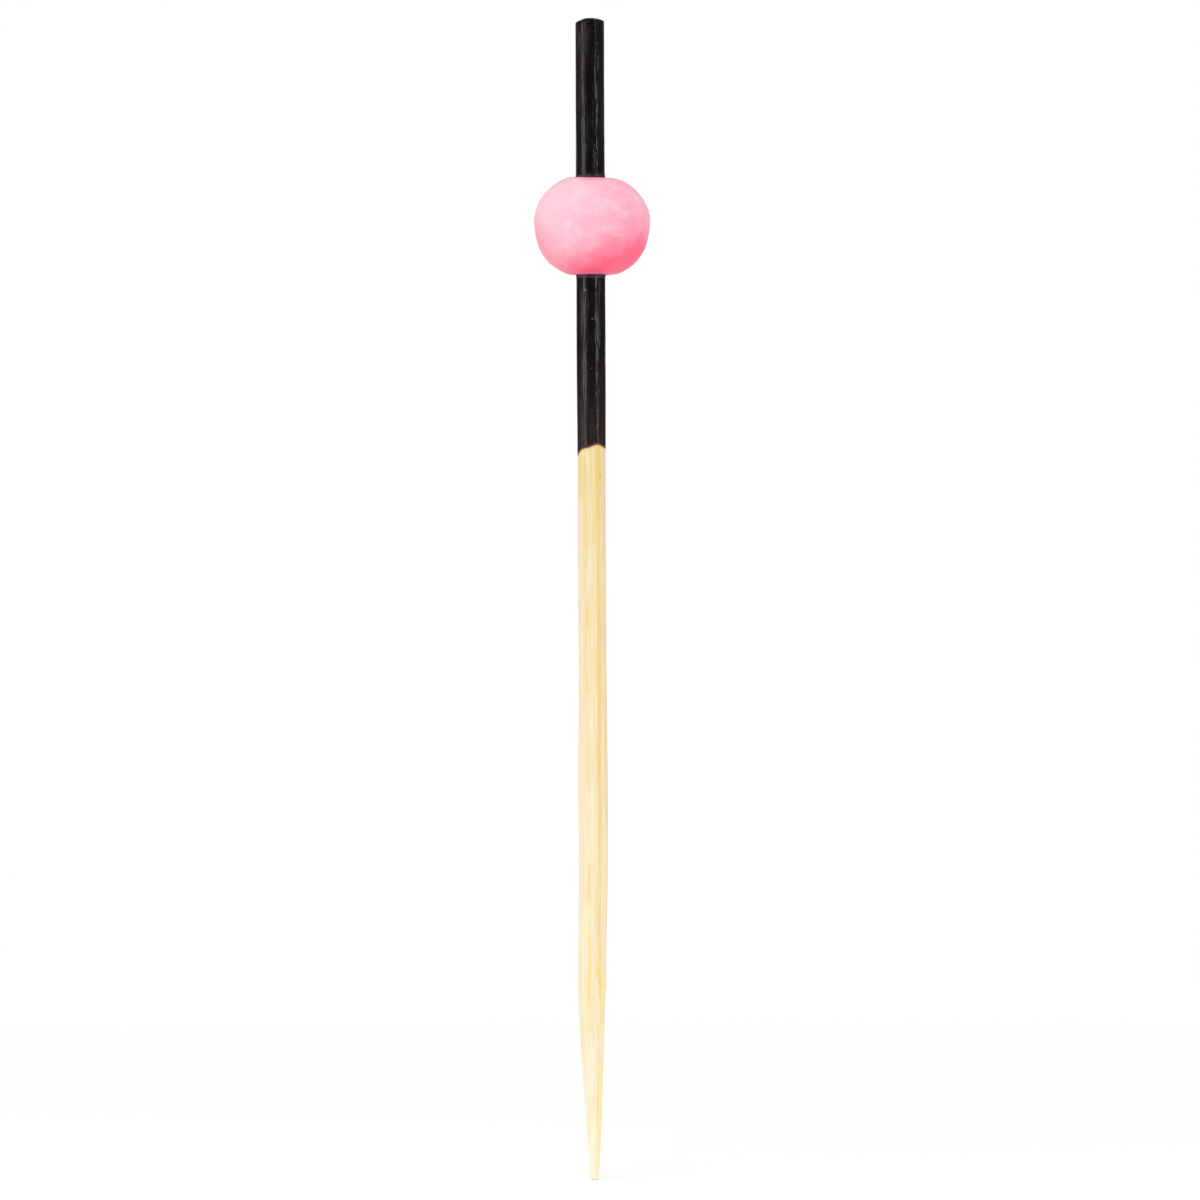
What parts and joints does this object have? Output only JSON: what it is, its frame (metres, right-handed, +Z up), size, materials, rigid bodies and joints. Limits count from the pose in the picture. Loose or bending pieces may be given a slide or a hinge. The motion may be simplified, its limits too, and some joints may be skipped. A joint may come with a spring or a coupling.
{
  "type": "ball cocktail pick",
  "caption": "Sharpened bamboo stick with a black lacquered head and a pink painted wooden ball glued on below its top end, for spearing small food and garnishes.",
  "frame": {"origin": "the tip, at its lowest level, on the axis of the stick", "axes": "+Z up the stick from the tip to the top end; the front, as pictured, faces -Y; +X to the right"},
  "size_m": [0.0119, 0.012, 0.12],
  "materials": {
    "bamboo": "split and moulded bamboo, bare, lengthwise fibres, satin",
    "black_lacquer": "dipped black lacquer, glossy, browner where it thins at its lower edge",
    "bead_wood": "turned birch under the paint",
    "pink_paint": "tumbled pink paint, satin, slightly mottled",
    "glue": "cured glue, stained dark by the lacquer"
  },
  "bodies": {
    "root": {"bamboo_stick": "bamboo", "black_lacquer_coat": "black_lacquer", "wooden_bead": "bead_wood", "pink_paint_coat": "pink_paint", "glue_sleeve": "glue"}
  },
  "joints": []
}
